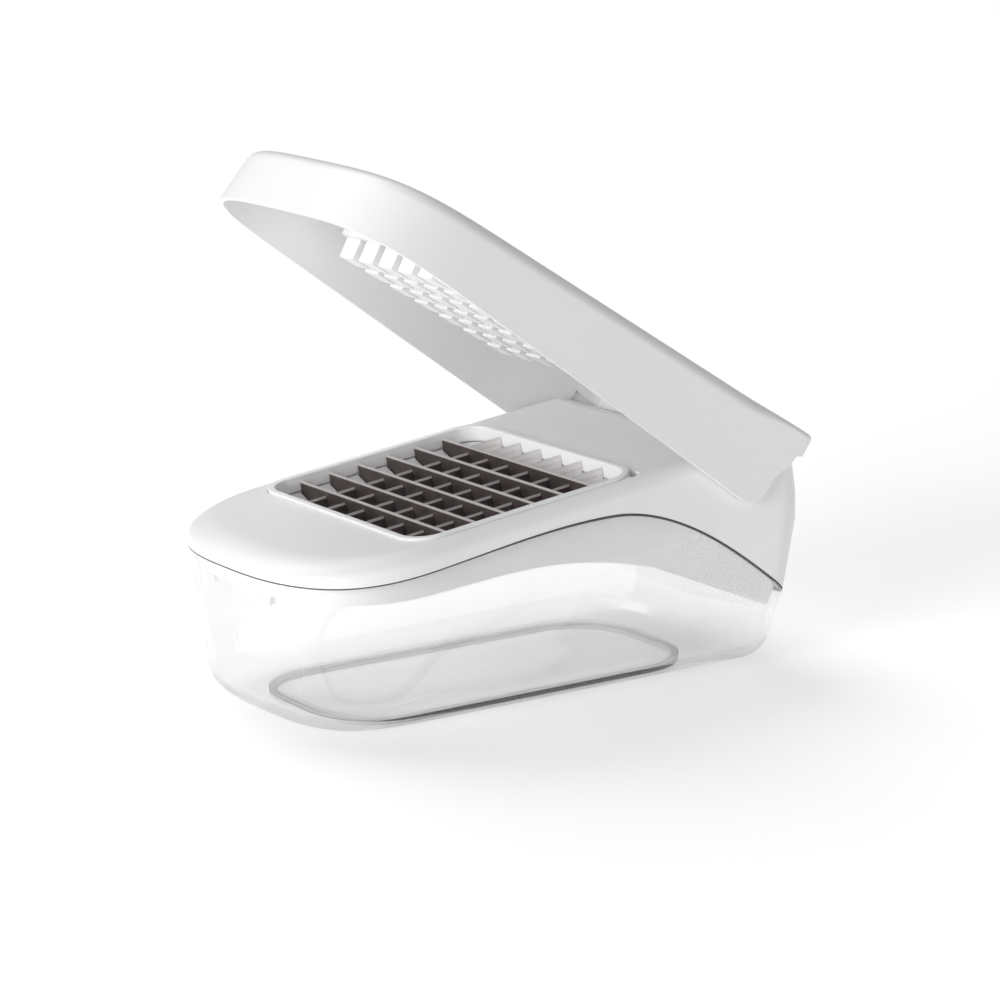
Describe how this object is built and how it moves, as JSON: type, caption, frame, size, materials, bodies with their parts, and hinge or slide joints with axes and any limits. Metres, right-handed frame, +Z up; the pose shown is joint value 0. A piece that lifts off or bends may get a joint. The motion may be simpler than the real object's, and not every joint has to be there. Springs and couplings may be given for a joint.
{
  "type": "vegetable chopper",
  "caption": "Lever-lid vegetable chopper: clear catch bin, white deck with a lift-out grid of steel blades, and a hinged lid with pusher teeth, shown open.",
  "frame": {"origin": "on the table, under the middle of the body's length and width", "axes": "+Z up, +Y towards the hinge, -Y towards the rounded front, X across the width"},
  "size_m": [0.1224, 0.2157, 0.1959],
  "materials": {
    "clear_plastic": "clear moulded plastic, polished",
    "grip_rubber": "matt soft rubber",
    "white_plastic": "satin white moulded plastic",
    "blade_steel": "ground stainless steel strip"
  },
  "bodies": {
    "base": {"container": "clear_plastic", "base_grip_ring": "grip_rubber"},
    "top": {"cutting_deck": "white_plastic", "blade_frame_rim": "white_plastic", "blade_frame_base": "white_plastic", "cross_blade_1": "blade_steel", "long_blade_1": "blade_steel", "cross_blade_2": "blade_steel", "long_blade_2": "blade_steel", "cross_blade_3": "blade_steel", "long_blade_3": "blade_steel", "cross_blade_4": "blade_steel", "long_blade_4": "blade_steel", "cross_blade_5": "blade_steel", "long_blade_5": "blade_steel", "cross_blade_6": "blade_steel", "long_blade_6": "blade_steel"},
    "lid": {"lid_shell": "white_plastic", "pusher_plate": "white_plastic"},
    "grid": {"cleaning_grid": "white_plastic"}
  },
  "joints": [
    {"name": "top_lift", "type": "slide", "parent": "base", "child": "top", "axis": [0, 0, 1], "range_m": [0, 0.06]},
    {"name": "lid_hinge", "type": "hinge", "parent": "top", "child": "lid", "pos_m": [0, 0.07737, 0.076], "axis": [1, 0, 0], "range_deg": [0, 38.65]},
    {"name": "cleaning_grid_slide", "type": "slide", "parent": "lid", "child": "grid", "axis": [0, -0.521, -0.8536], "range_m": [0, 0.0055]}
  ]
}
